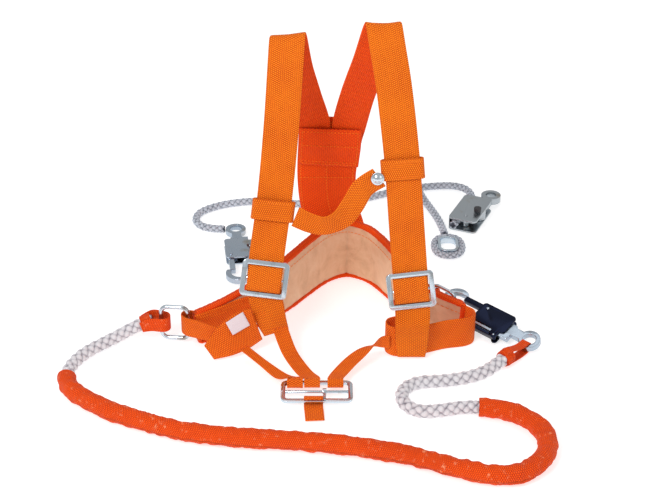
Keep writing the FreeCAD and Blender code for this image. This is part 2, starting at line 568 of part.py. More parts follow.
def rope_ends():
    """Thimble and spliced eye on the branch rope, and the webbing wraps on the lanyard's ends."""
    thimble = slot_ring(30.0, 44.0, 4.0, 11.0, 12.0)
    thimble.translate(V(184, 250, 6))
    keep("rope_thimble", thimble, cord=True)
    eye = slot_ring(52.0, 66.0, 9.4, 10.0, 22.0)
    eye.translate(V(184, 250, 6))
    keep("spliced_eye", eye, cord=True)
    left_loop = [
        ((-243, -0.6, 25), (0, 0, 1), 14), ((-229, -0.6, 29), (0, 0, 1), 18), ((-214, -5.0, 31), (0, 0, 1), 20),
        ((-207, -2.2, 31), (0, 0, 1), 20), ((-204.4, 4.8, 31), (0, 0, 1), 20), ((-207, 11.8, 31), (0, 0, 1), 20),
        ((-214, 15.6, 31), (0, 0, 1), 20), ((-229, 22.2, 29), (0, 0, 1), 18), ((-243, 18.8, 25), (0, 0, 1), 14),
    ]
    right_loop = [(to_hook(0, y, n), hook_axis(), 12.5) for y, n in RIGHT_LOOP]
    for name, end, inward, loop in (
        ("left_lanyard_wrap", LANYARD_ROUTE[0], LANYARD_ROUTE[1], left_loop),
        ("right_lanyard_wrap", LANYARD_ROUTE[-1], LANYARD_ROUTE[-2], right_loop),
    ):
        a = (V(*inward) - V(*end)).normalize()
        outer = Part.makeCylinder(LANYARD_D / 2 + 2.0, WRAP_LONG, V(*end) - a, a)
        bore = Part.makeCylinder(LANYARD_D / 2 + 0.3, 60, V(*end) - a * 4, a)
        keep(name, outer.fuse(band(loop, 1.8)).cut(bore), cord=True)


# (gate side, thickness) points of the webbing loop through the front hook's eye, in the hook's frame
RIGHT_LOOP = [(-52.3, -7.0), (-44.7, -4.5), (-32, 1.0), (-22, 4.7), (-13, 6.6), (-6.4, 5.2), (-4.4, 0.0),
              (-6.4, -5.2), (-13, -6.8), (-22, -10.4), (-32, -17.0), (-38.9, -22.4), (-46.5, -25.0)]


def hook_axis():
    along_hook = V(*FRONT_HOOK_AT[1]).normalize()
    return (along_hook.x, along_hook.y, along_hook.z)


def to_hook(x, y, n):
    """A point of the front hook's frame, on the object."""
    x_dir = V(*FRONT_HOOK_AT[1]).normalize()
    z_dir = x_dir.cross(V(*FRONT_HOOK_AT[2])).normalize()
    y_dir = z_dir.cross(x_dir)
    p = V(*FRONT_HOOK_AT[0]) + x_dir * x + y_dir * y + z_dir * n
    return (p.x, p.y, p.z)


def check(name, shape):
    solids = shape.Solids
    if not shape.isValid() or not solids or any(not s.isClosed() for s in solids):
        print("PROBLEM", name, shape.isValid(), len(solids))
    return len(solids)


def main():
    os.makedirs("parts", exist_ok=True)
    waist()
    belt_ends()
    shoulder_straps()
    dorsal_panel()
    dorsal_ring()
    chest_strap()
    adjuster("left", LEFT_ADJUSTER, LEFT_ACROSS, LEFT_MID)
    adjuster("right", RIGHT_ADJUSTER, RIGHT_ACROSS, RIGHT_MID)
    front_waist()
    side_rings()
    hooks()
    grab()
    ropes()
    rope_ends()
    low = V(1e9, 1e9, 1e9)
    high = V(-1e9, -1e9, -1e9)
    for name, shape in made.items():
        check(name, shape)
        shape.exportStep(f"parts/{name}.step")
        bounds = shape.BoundBox
        if name not in cord_nodes:
            low = V(min(low.x, bounds.XMin), min(low.y, bounds.YMin), min(low.z, bounds.ZMin))
            high = V(max(high.x, bounds.XMax), max(high.y, bounds.YMax), max(high.z, bounds.ZMax))
    print(len(made), "nodes; harness box", low, high, "centre", (low + high) * 0.5)


main()
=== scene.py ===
"""Looks of the safety harness vest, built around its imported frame. Metres, in the row frame."""
import json
import math

import bmesh
import bpy
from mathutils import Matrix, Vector, noise


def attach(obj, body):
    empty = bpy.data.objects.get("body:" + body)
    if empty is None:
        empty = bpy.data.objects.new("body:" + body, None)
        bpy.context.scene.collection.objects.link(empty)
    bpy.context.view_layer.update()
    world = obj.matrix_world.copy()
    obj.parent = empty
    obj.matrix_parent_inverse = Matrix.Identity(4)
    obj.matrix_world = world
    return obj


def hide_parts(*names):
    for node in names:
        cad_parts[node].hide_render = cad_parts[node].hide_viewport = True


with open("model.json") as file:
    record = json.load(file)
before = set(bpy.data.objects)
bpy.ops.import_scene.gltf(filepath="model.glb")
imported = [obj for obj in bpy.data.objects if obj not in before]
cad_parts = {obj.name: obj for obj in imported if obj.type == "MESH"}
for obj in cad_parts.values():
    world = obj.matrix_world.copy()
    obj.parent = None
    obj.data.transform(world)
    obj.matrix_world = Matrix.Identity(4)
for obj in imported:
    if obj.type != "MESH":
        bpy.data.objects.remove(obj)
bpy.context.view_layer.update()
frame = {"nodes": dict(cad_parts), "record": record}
MM = 0.001
SHIFT = Vector((0.0089, -0.0075, 0.0))      # the frame's origin, as in the part's source
NODES = frame["nodes"]

# Camera, lamps and floor: lengths in metres, lamp power in watts ------------------------------
ELEVATION = math.radians(30.0)
DISTANCE = 2.2
HALF_VIEW = 0.42                            # half the width seen at the object's distance
TARGET = SHIFT + Vector((0.0, 0.0, 0.149))
LAMPS = (                                   # name, place, side, power
    ("key", (-0.9, -1.5, 1.7), 0.7, 25.0), ("fill", (1.6, -0.9, 1.1), 1.2, 4.0),
    ("top", (0.1, 0.6, 2.2), 1.4, 5.0),
)
LAMPS_AIM = Vector((0.0, 0.0, 0.15))
WORLD_STRENGTH = 0.56
FLOOR_HALF = 6.0
FLOOR_DROP = 0.0006                         # keeps the floor from flickering through flat undersides
FLOOR_GREY = 0.62
FLOOR_GLOW = 0.62

# Ropes: route points as in the part's source, in metres ---------------------------------------
LANYARD_D = 0.018
SLEEVE_D = 0.024
ROPE_D = 0.012
LANYARD_ROUTE = [
    (-0.230, 0.012, 0.029), (-0.251, 0.008, 0.022), (-0.272, -0.002, 0.014), (-0.295, -0.020, 0.011),
    (-0.317, -0.045, 0.012), (-0.333, -0.082, 0.012), (-0.328, -0.119, 0.012), (-0.306, -0.144, 0.012),
    (-0.272, -0.170, 0.012), (-0.232, -0.192, 0.012), (-0.186, -0.212, 0.012), (-0.134, -0.226, 0.012),
    (-0.078, -0.232, 0.012), (-0.020, -0.238, 0.012), (0.034, -0.246, 0.012), (0.084, -0.258, 0.012),
    (0.130, -0.276, 0.012), (0.176, -0.298, 0.012), (0.220, -0.306, 0.012), (0.256, -0.288, 0.012),
    (0.275, -0.252, 0.012), (0.272, -0.212, 0.012), (0.246, -0.180, 0.012), (0.212, -0.166, 0.012),
    (0.178, -0.164, 0.012), (0.148, -0.170, 0.010), (0.119, -0.172, 0.0092), (0.100, -0.153, 0.0092),
    (0.100, -0.125, 0.0092), (0.119, -0.106, 0.0092), (0.148, -0.104, 0.0092), (0.180, -0.098, 0.0092),
    (0.207, -0.086, 0.0092), (0.228, -0.065, 0.010), (0.245, -0.0465, 0.013),
]
REAR_ROUTE = [
    (-0.148, 0.298, 0.008), (-0.172, 0.302, 0.006), (-0.192, 0.320, 0.006), (-0.192, 0.348, 0.006),
    (-0.172, 0.368, 0.006), (-0.144, 0.382, 0.006), (-0.110, 0.389, 0.006), (-0.076, 0.387, 0.006),
    (-0.040, 0.380, 0.006), (-0.004, 0.378, 0.006), (0.036, 0.385, 0.006), (0.074, 0.402, 0.006),
    (0.112, 0.422, 0.006), (0.150, 0.434, 0.006), (0.182, 0.438, 0.007), (0.208, 0.434, 0.009),
    (0.226, 0.418, 0.0105), (0.2312, 0.3892, 0.0105), (0.213, 0.3446, 0.0105), (0.1944, 0.3045, 0.0105),
]
BRANCH_ROUTE = [
    (0.150, 0.420, 0.006), (0.155, 0.396, 0.006), (0.164, 0.368, 0.006), (0.172, 0.340, 0.006),
    (0.178, 0.312, 0.006), (0.181, 0.286, 0.006),
]


# Small helpers --------------------------------------------------------------------------------
def link(obj):
    bpy.context.scene.collection.objects.link(obj)
    return obj


def new_mesh(name, verts, faces, uvs=None, painted_shading=None):
    mesh = bpy.data.meshes.new(name)
    mesh.from_pydata([tuple(v) for v in verts], [], faces)
    if uvs:
        layer = mesh.uv_layers.new(name="UVMap")
        for loop in mesh.loops:
            layer.data[loop.index].uv = uvs[loop.vertex_index]
    if painted_shading:
        mesh.attributes.new("painted_shading", "FLOAT", "POINT").data.foreach_set("value", painted_shading)
    mesh.polygons.foreach_set("use_smooth", [True] * len(mesh.polygons))
    mesh.update()
    return link(bpy.data.objects.new(name, mesh))


def finish_piece(obj, body, slot, material, *nodes):
    """Gives a piece its look, its body and the CAD nodes it stands in for."""
    obj.data.materials.clear()
    obj.data.materials.append(material)
    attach(obj, body)
    if nodes:
        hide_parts(*nodes)
    return obj


def smooth_line(points, step):
    """Catmull-Rom through points of any length of tuple, about step apart along the first three."""
    out = []
    last = len(points) - 1
    for i in range(last):
        a, b, c, d = (points[max(i - 1, 0)], points[i], points[i + 1], points[min(i + 2, last)])
        run = (Vector(c[:3]) - Vector(b[:3])).length
        count = max(1, round(run / step))
        for k in range(count):
            t = k / count
            out.append([0.5 * (2 * q + (r - p) * t + (2 * p - 5 * q + 4 * r - s) * t * t
                               + (3 * q - p - 3 * r + s) * t ** 3) for p, q, r, s in zip(a, b, c, d)])
    out.append(list(points[last]))
    return out


def nurbs_points(name, route, detail):
    """Points read from the route's own NURBS spline."""
    curve = bpy.data.curves.new(name, "CURVE")
    curve.dimensions = "3D"
    spline = curve.splines.new("NURBS")
    spline.points.add(len(route) - 1)
    for point, place in zip(spline.points, route):
        point.co = (*(Vector(place) + SHIFT), 1.0)
    spline.order_u = 3
    spline.use_endpoint_u = True
    spline.resolution_u = detail
    holder = link(bpy.data.objects.new(name, curve))
    bpy.context.view_layer.update()
    mesh = bpy.data.meshes.new_from_object(holder)
    line = [v.co.copy() for v in mesh.vertices]
    bpy.data.objects.remove(holder)
    bpy.data.meshes.remove(mesh)
    bpy.data.curves.remove(curve)
    return line


def frames_along(line):
    """Parallel-transported side and up vectors, and the length so far, at each point."""
    out = []
    up = Vector((0, 0, 1))
    total = 0.0
    for i, p in enumerate(line):
        tangent = (line[min(i + 1, len(line) - 1)] - line[max(i - 1, 0)]).normalized()
        side = tangent.cross(up).normalized()
        up = side.cross(tangent).normalized()
        if i:
            total += (p - line[i - 1]).length
        out.append((p, tangent, side, up, total))
    return out


def at_length(frames, s):
    """The frame at length s along the line."""
    low, high = 0, len(frames) - 1
    while high - low > 1:
        mid = (low + high) // 2
        if frames[mid][4] <= s:
            low = mid
        else:
            high = mid
    a, b = frames[low], frames[high]
    t = min(max((s - a[4]) / max(b[4] - a[4], 1e-9), 0.0), 1.0)
    return [a[k].lerp(b[k], t) for k in range(4)]


def tube_faces(rings, sides, capped=True, start=0):
    faces = []
    for i in range(rings - 1):
        for k in range(sides):
            a = start + i * sides + k
            b = start + i * sides + (k + 1) % sides
            faces.append((a, b, b + sides, a + sides))
    if capped:
        faces.append(tuple(start + k for k in reversed(range(sides))))
        faces.append(tuple(start + (rings - 1) * sides + k for k in range(sides)))
    return faces


# Materials ------------------------------------------------------------------------------------
def material(name, colour, roughness=0.6, metallic=0.0, **sockets):
    mat = bpy.data.materials.new(name)
    mat.use_nodes = True
    shader = mat.node_tree.nodes["Principled BSDF"]
    shader.inputs["Base Color"].default_value = (*colour, 1.0)
    shader.inputs["Roughness"].default_value = roughness
    shader.inputs["Metallic"].default_value = metallic
    for key, value in sockets.items():
        shader.inputs[key.replace("_", " ")].default_value = value
    return mat, shader, mat.node_tree.nodes, mat.node_tree.links


def node(nodes, kind, **values):
    made = nodes.new(kind)
    for key, value in values.items():
        if hasattr(made, key):
            setattr(made, key, value)
        else:
            made.inputs[key.replace("_", " ")].default_value = value
    return made


def math_node(nodes, links, operation, first, second=None, third=None):
    made = nodes.new("ShaderNodeMath")
    made.operation = operation
    for i, value in enumerate((first, second, third)):
        if value is None:
            continue
        if isinstance(value, (int, float)):
            made.inputs[i].default_value = value
        else:
            links.new(value, made.inputs[i])
    return made.outputs[0]


def ramp(nodes, links, factor, stops):
    made = nodes.new("ShaderNodeValToRGB")
    elements = made.color_ramp.elements
    while len(elements) < len(stops):
        elements.new(0.5)
    for element, (place, colour) in zip(elements, stops):
        element.position = place
        element.color = (*colour, 1.0)
    links.new(factor, made.inputs[0])
    return made.outputs[0]


def object_noise(nodes, links, **values):
    """Noise fixed to the object, in metres."""
    place = nodes.new("ShaderNodeTexCoord")
    made = node(nodes, "ShaderNodeTexNoise", **values)
    links.new(place.outputs["Object"], made.inputs["Vector"])
    return made.outputs[0]


def weave_heights(nodes, links, across_pitch, along_pitch):
    """Woven height from UVs in metres: weft ribs, shifted half a rib in each warp column."""
    uv = nodes.new("ShaderNodeUVMap")
    uv.uv_map = "UVMap"
    split = nodes.new("ShaderNodeSeparateXYZ")
    links.new(uv.outputs[0], split.inputs[0])
    u = math_node(nodes, links, "MULTIPLY", split.outputs[0], math.pi / across_pitch)
    v = math_node(nodes, links, "MULTIPLY", split.outputs[1], math.pi / along_pitch)
    cell = math_node(nodes, links, "FLOOR", math_node(nodes, links, "DIVIDE", u, math.pi))
    phase = math_node(nodes, links, "MULTIPLY", cell, math.pi / 2)
    warp = math_node(nodes, links, "ABSOLUTE", math_node(nodes, links, "SINE", u))
    weft = math_node(nodes, links, "ABSOLUTE",
                     math_node(nodes, links, "SINE", math_node(nodes, links, "ADD", v, phase)))
    columns = math_node(nodes, links, "MULTIPLY_ADD", warp, 0.6, 0.4)
    return math_node(nodes, links, "MULTIPLY", weft, columns)


def blend(nodes, links, factor, first, second):
    mix = nodes.new("ShaderNodeMix")
    mix.data_type = "RGBA"
    links.new(factor, mix.inputs[0])
    links.new(first, mix.inputs[6])
    if isinstance(second, tuple):
        mix.inputs[7].default_value = (*second, 1.0)
    else:
        links.new(second, mix.inputs[7])
    return mix.outputs[2]


# dark is the painted shade in the gaps between ribs; base is the webbing's own colour
def woven_ramp(nodes, links, shade, base, dark):
    mid = tuple(0.55 * b + 0.45 * d for b, d in zip(base, dark))
    return ramp(nodes, links, shade, [(0.36, dark), (0.66, mid), (0.92, base)])


def webbing(name, base, dark, across_pitch=0.0026, along_pitch=0.0026, strength=0.9, inner_shade=None,
            pale_flecks=None):
    """Woven polyester webbing: ribs with painted shade in the gaps between them, soiling in patches and a
    soft sheen.
    """
    mat, shader, nodes, links = material(name, base, 0.62, Sheen_Weight=0.03, Sheen_Roughness=0.5,
                                         Specular_IOR_Level=0.1)
    height = weave_heights(nodes, links, across_pitch, along_pitch)
    patches = object_noise(nodes, links, Scale=26.0, Detail=5.0, Roughness=0.6)
    fibres = object_noise(nodes, links, Scale=900.0, Detail=3.0)
    # the rib height darkens the gaps between ribs (painted shade); the patches and fibres add random tone
    shade = math_node(nodes, links, "MULTIPLY_ADD", height, 0.95,
                      math_node(nodes, links, "MULTIPLY", patches, 0.36))
    shade = math_node(nodes, links, "MULTIPLY_ADD", fibres, 0.2, shade)
    colour = woven_ramp(nodes, links, shade, base, dark)
    if inner_shade:                                  # painted shade: the side facing the wearer lies in shadow and is painted a redder, deeper orange
        shaded_side = nodes.new("ShaderNodeAttribute")
        shaded_side.attribute_name = "painted_shading"
        colour = blend(nodes, links, shaded_side.outputs["Fac"], colour,
                       woven_ramp(nodes, links, shade, *inner_shade))
    if pale_flecks:                                    # pale flecks where a fine object-space noise runs high
        fleck_noise = object_noise(nodes, links, Scale=120.0, Detail=7.0, Roughness=0.72)
        spots = math_node(nodes, links, "MULTIPLY_ADD", fleck_noise, 6.0, -3.45)
        spots = math_node(nodes, links, "MINIMUM", math_node(nodes, links, "MAXIMUM", spots, 0.0), 0.75)
        colour = blend(nodes, links, spots, colour, pale_flecks)
    links.new(colour, shader.inputs["Base Color"])
    rough = math_node(nodes, links, "MULTIPLY_ADD", patches, 0.3, 0.45)
    links.new(rough, shader.inputs["Roughness"])
    bump = node(nodes, "ShaderNodeBump", Strength=strength, Distance=0.0008)
    links.new(height, bump.inputs["Height"])
    links.new(bump.outputs[0], shader.inputs["Normal"])
    return mat


def suede_material():
    """Napped suede: brushed light and dark patches, pores and a soft sheen."""
    mat, shader, nodes, links = material("suede", (0.70, 0.42, 0.20), 0.9, Sheen_Weight=0.35,
                                         Sheen_Roughness=0.4, Specular_IOR_Level=0.15)
    nap = object_noise(nodes, links, Scale=30.0, Detail=8.0, Roughness=0.65, Distortion=0.6)
    pores = object_noise(nodes, links, Scale=700.0, Detail=4.0)
    colour = ramp(nodes, links, nap,
                  [(0.25, (0.58, 0.34, 0.20)), (0.5, (0.77, 0.50, 0.31)), (0.78, (0.88, 0.63, 0.43))])
    links.new(colour, shader.inputs["Base Color"])
    both = math_node(nodes, links, "MULTIPLY_ADD", nap, 0.6, pores)
    bump = node(nodes, "ShaderNodeBump", Strength=0.45, Distance=0.0008)
    links.new(both, bump.inputs["Height"])
    links.new(bump.outputs[0], shader.inputs["Normal"])
    return mat


def rope_material(name, light, dark):
    """Fibrous rope strands: fine yarn lines, soiling, and painted shade on the strands' flanks and in the
    grooves where strands dive under.
    """
    mat, shader, nodes, links = material(name, light, 0.6, Sheen_Weight=0.1, Specular_IOR_Level=0.35)
    uv = nodes.new("ShaderNodeUVMap")
    uv.uv_map = "UVMap"
    yarn = node(nodes, "ShaderNodeTexWave", Scale=1.0, Distortion=1.2, Detail=2.0, Detail_Scale=2.0)
    yarn.bands_direction = "X"
    links.new(uv.outputs[0], yarn.inputs["Vector"])
    grime = object_noise(nodes, links, Scale=60.0, Detail=6.0, Roughness=0.6)
    painted_shading = nodes.new("ShaderNodeAttribute")
    painted_shading.attribute_name = "painted_shading"
    factor = math_node(nodes, links, "MULTIPLY_ADD", yarn.outputs[1], 0.14,
                       math_node(nodes, links, "MULTIPLY", grime, 0.3))
    # painted shade: the mesh's per-vertex weight darkens the strand flanks, the strands that dive under and
    # the core
    factor = math_node(nodes, links, "MULTIPLY_ADD", painted_shading.outputs["Fac"], 0.72, factor)
    # deep paints the shade in the grooves, dark the shade on the flanks
    deep = tuple(0.35 * c for c in dark)
    colour = ramp(nodes, links, factor, [(0.24, deep), (0.46, dark), (0.84, light)])
    links.new(colour, shader.inputs["Base Color"])
    bump = node(nodes, "ShaderNodeBump", Strength=0.6, Distance=0.0005)
    links.new(yarn.outputs[1], bump.inputs["Height"])
    links.new(bump.outputs[0], shader.inputs["Normal"])
    return mat


def steel(name, colour, roughness, grain=1.0, spots=(0.35, 0.33, 0.3)):
    """Zinc-plated steel: cloudy plating, fine scratches and dull spots."""
    mat, shader, nodes, links = material(name, colour, roughness, 1.0)
    place = nodes.new("ShaderNodeTexCoord")
    cloud = object_noise(nodes, links, Scale=45.0, Detail=5.0)
    stretch = node(nodes, "ShaderNodeMapping")
    stretch.inputs["Scale"].default_value = (60.0, 900.0, 900.0)
    links.new(place.outputs["Object"], stretch.inputs["Vector"])
    scratch = node(nodes, "ShaderNodeTexNoise", Scale=1.0, Detail=2.0)
    links.new(stretch.outputs[0], scratch.inputs["Vector"])
    colour_out = ramp(nodes, links, cloud, [(0.28, spots), (0.42, colour), (1.0, colour)])
    links.new(colour_out, shader.inputs["Base Color"])
    rough = math_node(nodes, links, "MULTIPLY_ADD", cloud, 0.25, roughness - 0.12)
    links.new(rough, shader.inputs["Roughness"])
    bump = node(nodes, "ShaderNodeBump", Strength=0.12 * grain, Distance=0.0002)
    links.new(scratch.outputs[0], bump.inputs["Height"])
    links.new(bump.outputs[0], shader.inputs["Normal"])
    return mat


# each webbing's second colour is the painted shade in the gaps between its ribs, and also the tone of its
# darker random patches
ORANGE = webbing("orange_webbing", (1.0, 0.235, 0.010), (0.42, 0.014, 0.001),
                 # the second pair is the painted shade of the strap faces towards the wearer, redder and
                 # deeper
                 inner_shade=((0.98, 0.105, 0.004), (0.50, 0.014, 0.001)))
# a redder copy of the orange webbing for the belt-side pieces that lie in shadow: painted shade
SHADED_ORANGE = webbing("shaded_orange_webbing", (1.0, 0.20, 0.010), (0.50, 0.016, 0.001))
RED_ORANGE = webbing("red_orange_webbing", (1.0, 0.105, 0.004), (0.52, 0.014, 0.002), strength=0.6)
SLEEVE = webbing("sleeve_webbing", (0.96, 0.10, 0.007), (0.40, 0.011, 0.002), 0.0024, 0.0024, 0.7,
                 pale_flecks=(1.0, 0.42, 0.22))
LABEL = webbing("label_cloth", (0.86, 0.78, 0.81), (0.66, 0.55, 0.59), 0.0012, 0.0012, 0.2)
THREAD = webbing("orange_thread", (1.0, 0.34, 0.05), (0.9, 0.22, 0.02), 0.0021, 0.0021, 0.0)
SUEDE = suede_material()
# each rope's second colour is the painted shade on its strands' flanks and in its grooves
WHITE_ROPE = rope_material("white_rope", (0.90, 0.87, 0.90), (0.20, 0.17, 0.23))
GREY_ROPE = rope_material("grey_rope", (0.68, 0.73, 0.82), (0.10, 0.12, 0.17))
ZINC = steel("zinc_steel", (0.60, 0.68, 0.75), 0.2)
FORGED = steel("forged_steel", (0.42, 0.49, 0.57), 0.24, 1.6)
GRAB = steel("grab_steel", (0.42, 0.46, 0.49), 0.32, 1.6)
BLACK = steel("black_latch", (0.014, 0.018, 0.040), 0.24, 1.0, (0.010, 0.010, 0.016))
KNOB = steel("black_plastic", (0.03, 0.03, 0.035), 0.5, 0.6, (0.02, 0.02, 0.02))
KNOB.node_tree.nodes["Principled BSDF"].inputs["Metallic"].default_value = 0.0
SLOT_MATERIAL = {
    "orange_webbing": ORANGE, "red_orange_webbing": RED_ORANGE, "sleeve_webbing": SLEEVE,
    "suede": SUEDE, "pad_foam": SUEDE, "label": LABEL, "zinc_steel": ZINC, "black_latch": BLACK,
    "forged_steel": FORGED, "grab_steel": GRAB, "black_plastic": KNOB, "white_rope": WHITE_ROPE,
    "grey_rope": GREY_ROPE,
}


# Stage ----------------------------------------------------------------------------------------
def camera_and_lights():
    data = bpy.data.cameras.new("camera")
    data.angle = 2 * math.atan(HALF_VIEW / DISTANCE)
    camera = link(bpy.data.objects.new("camera", data))
    back = Vector((0, -math.cos(ELEVATION), math.sin(ELEVATION)))
    camera.location = TARGET + back * DISTANCE
    camera.rotation_euler = (math.radians(90) - ELEVATION, 0, 0)
    bpy.context.scene.camera = camera
    bpy.context.scene.view_settings.view_transform = "Standard"
    for name, place, size, power in LAMPS:
        lamp = bpy.data.lights.new(name, "AREA")
        lamp.energy = power
        lamp.size = size
        holder = link(bpy.data.objects.new(name, lamp))
        holder.location = place
        holder.rotation_euler = (LAMPS_AIM - Vector(place)).to_track_quat("-Z", "Y").to_euler()
    world = bpy.data.worlds.new("studio")
    world.use_nodes = True
    world.node_tree.nodes["Background"].inputs[0].default_value = (1.0, 1.0, 1.0, 1.0)
    world.node_tree.nodes["Background"].inputs[1].default_value = WORLD_STRENGTH
    bpy.context.scene.world = world
    corners = [(x * FLOOR_HALF, y * FLOOR_HALF, 0) for x, y in ((-1, -1), (1, -1), (1, 1), (-1, 1))]
    floor = new_mesh("floor", corners, [(0, 1, 2, 3)])
    floor.location.z = -FLOOR_DROP
    pale = material("pale_floor", (FLOOR_GREY,) * 3, 0.9)[0]
    shader = pale.node_tree.nodes["Principled BSDF"]
    shader.inputs["Emission Color"].default_value = (1.0, 1.0, 1.0, 1.0)
    shader.inputs["Emission Strength"].default_value = FLOOR_GLOW
    floor.data.materials.append(pale)


# Ropes ----------------------------------------------------------------------------------------
def braid(name, line, diameter, pitch, strands=8, closed=False):
    """A plaited rope: strands wind both ways round the line, over and under each other."""
    frames = frames_along(line)
    length = frames[-1][4]
    strand_radius = diameter * 0.2
    reach = diameter / 2 - strand_radius
    verts, faces, uvs, painted_shading = [], [], [], []
    sides = 8
    steps = max(8, int(length / pitch * 26))
    half = strands // 2
    for n in range(strands):
        turn = 1 if n % 2 else -1
        start = len(verts)
        for i in range(steps + 1):
            s = length * i / steps
            p, tangent, side, up = at_length(frames, s)
            angle = turn * 2 * math.pi * s / pitch + 2 * math.pi * (n // 2) / half
            over = math.cos(half * angle * turn + (0 if turn > 0 else math.pi))
            out = side * math.cos(angle) + up * math.sin(angle)
            round_it = (up * math.cos(angle) - side * math.sin(angle)) * turn
            slope = 2 * math.pi * reach / pitch
            run = (tangent + round_it * slope).normalized()
            cross = run.cross(out).normalized()
            centre = p + out * (reach + (over * 0.11 - 0.07) * diameter)
            for k in range(sides):
                t = 2 * math.pi * k / sides
                verts.append(centre + cross * math.cos(t) * strand_radius * 1.2
                             + out * math.sin(t) * strand_radius * 0.9)
                uvs.append((k / sides * 12.0, s * 40.0))
                # painted shade: darker where a strand dives under and on the strand's inner half
                painted_shading.append(min(max(0.25 + 0.28 * over + 0.5 * math.sin(t), 0.0), 1.0))
        faces += tube_faces(steps + 1, sides, not closed, start)
    core_start = len(verts)
    for p, tangent, side, up, s in frames:
        for k in range(10):
            t = 2 * math.pi * k / 10
            verts.append(p + (side * math.cos(t) + up * math.sin(t)) * diameter * 0.33)
            uvs.append((k / 10 * 12.0, s * 40.0))
            # the core between the strands is painted fully in shade
            painted_shading.append(0.0)
    faces += tube_faces(len(frames), 10, not closed, core_start)
    return new_mesh(name, verts, faces, uvs, painted_shading=painted_shading)


def wrinkled_sleeve(line, first, last):
    """Webbing sleeve on the rope: crumpled into close cross folds, open at both ends."""
    frames = frames_along(line)
    rings = int((last - first) / 0.0013)
    sides = 36
    verts, uvs = [], []
    for i in range(rings + 1):
        s = first + (last - first) * i / rings
        p, _, side, up = at_length(frames, s)
        close = min(1.0, min(s - first, last - s) / 0.008)
        for k in range(sides):
            t = 2 * math.pi * k / sides
            ahead = side * math.cos(t) + up * math.sin(t)
            twist = Vector((math.cos(t) * 1.1, math.sin(t) * 1.1, s * 95.0))
            folds = noise.noise(twist) * 1.1 + noise.noise(twist * 2.3) * 0.6
            lumps = noise.noise(Vector((math.cos(t) * 0.6, math.sin(t) * 0.6, s * 22.0)))
            crease = 0.45 - abs(noise.noise(twist * 0.8 + Vector((5.0, 0.0, 0.0)))) * 1.6
            radius = SLEEVE_D / 2 - 0.0012 + (0.0013 * folds + 0.0011 * crease) * close + 0.0012 * lumps
            flat = 0.97 if ahead.z < -0.5 else 1.0
            verts.append(p + ahead * (radius * flat * (1.05 - 0.05 * close)))
            uvs.append((k / sides * 0.075, s))
    faces = tube_faces(rings + 1, sides, False)
    obj = new_mesh("sleeve", verts, faces, uvs)
    shell = obj.modifiers.new("cloth thickness", "SOLIDIFY")
    shell.thickness = 0.0012
    shell.offset = -1
    apply_modifiers(obj)
    return obj


def apply_modifiers(obj):
    bpy.context.view_layer.update()
    graph = bpy.context.evaluated_depsgraph_get()
    mesh = bpy.data.meshes.new_from_object(obj.evaluated_get(graph))
    obj.modifiers.clear()
    old = obj.data
    obj.data = mesh
    bpy.data.meshes.remove(old)


def nearest_length(line, place):
    """How far along the line the point nearest to place lies."""
    best, total, found = 1e9, 0.0, 0.0
    for i, p in enumerate(line):
        if i:
            total += (p - line[i - 1]).length
        gap = (p - place).length
        if gap < best:
            best, found = gap, total
    return found


def ropes():
    lanyard = nurbs_points("lanyard_route", LANYARD_ROUTE, 10)
    body = "harness"
    sleeve_from = nearest_length(lanyard, (Vector(LANYARD_ROUTE[5]) + Vector(LANYARD_ROUTE[6])) / 2 + SHIFT)
    sleeve_to = nearest_length(lanyard, (Vector(LANYARD_ROUTE[23]) + Vector(LANYARD_ROUTE[24])) / 2 + SHIFT)
    rope = finish_piece(braid("lanyard_rope_plait", lanyard, LANYARD_D, 0.052), body, "white_rope",
                        WHITE_ROPE, "lanyard_rope")
    sleeve = finish_piece(wrinkled_sleeve(lanyard, sleeve_from, sleeve_to), body, "sleeve_webbing", SLEEVE,
                          "lanyard_sleeve")
    wraps = []
    for name, node_name, spot in (("wrap_left", "left_lanyard_wrap", 0.0),
                                  ("wrap_right", "right_lanyard_wrap", 1.0)):
        wraps.append(end_wrap(name, node_name, lanyard, spot))
    wraps += lanyard_loops()
    rear = nurbs_points("rear_route", REAR_ROUTE, 10)
    plait = finish_piece(braid("rear_rope_plait", rear, ROPE_D, 0.038), body, "grey_rope", GREY_ROPE,
                         "rear_rope")
    branch = nurbs_points("branch_route", BRANCH_ROUTE, 10)
    limb = finish_piece(braid("branch_rope_plait", branch, ROPE_D, 0.038), body, "grey_rope", GREY_ROPE,
                        "branch_rope")
    eye = spliced_eye()


def spliced_eye():
    """The rope's end carried round the thimble and spliced into itself."""
    centre = Vector((0.184, 0.250, 0.006)) + SHIFT
    line = []
    for i in range(73):
        t = 2 * math.pi * i / 72
        x = math.copysign(abs(math.sin(t)) ** 0.85, math.sin(t)) * 0.0207
        y = math.copysign(abs(math.cos(t)) ** 0.85, math.cos(t)) * 0.0277
        line.append(centre + Vector((x, y, 0.0)))
    eye = braid("spliced_eye_plait", line, 0.0102, 0.0345, closed=True)
    return finish_piece(eye, "harness", "grey_rope", GREY_ROPE, "spliced_eye")


def end_wrap(name, node_name, line, spot):
    """Webbing bound round the end of the lanyard, in overlapping turns."""
    frames = frames_along(line)
    length = frames[-1][4]
    verts, uvs = [], []
    rings, sides = 40, 28
    for i in range(rings + 1):
        t = i / rings
        s = 0.014 * t if spot < 0.5 else length - 0.014 * (1 - t)
        p, _, side, up = at_length(frames, s)
        for k in range(sides):
            a = 2 * math.pi * k / sides
            step = (t * 3.0 + k / sides) % 1.0
            radius = LANYARD_D / 2 + 0.0009 + 0.0011 * step
            verts.append(p + (side * math.cos(a) + up * math.sin(a)) * radius)
            uvs.append((t * 0.02, k / sides * 0.07))
    obj = new_mesh(name, verts, tube_faces(rings + 1, sides), uvs)
    return finish_piece(obj, "harness", "sleeve_webbing", SLEEVE, node_name)


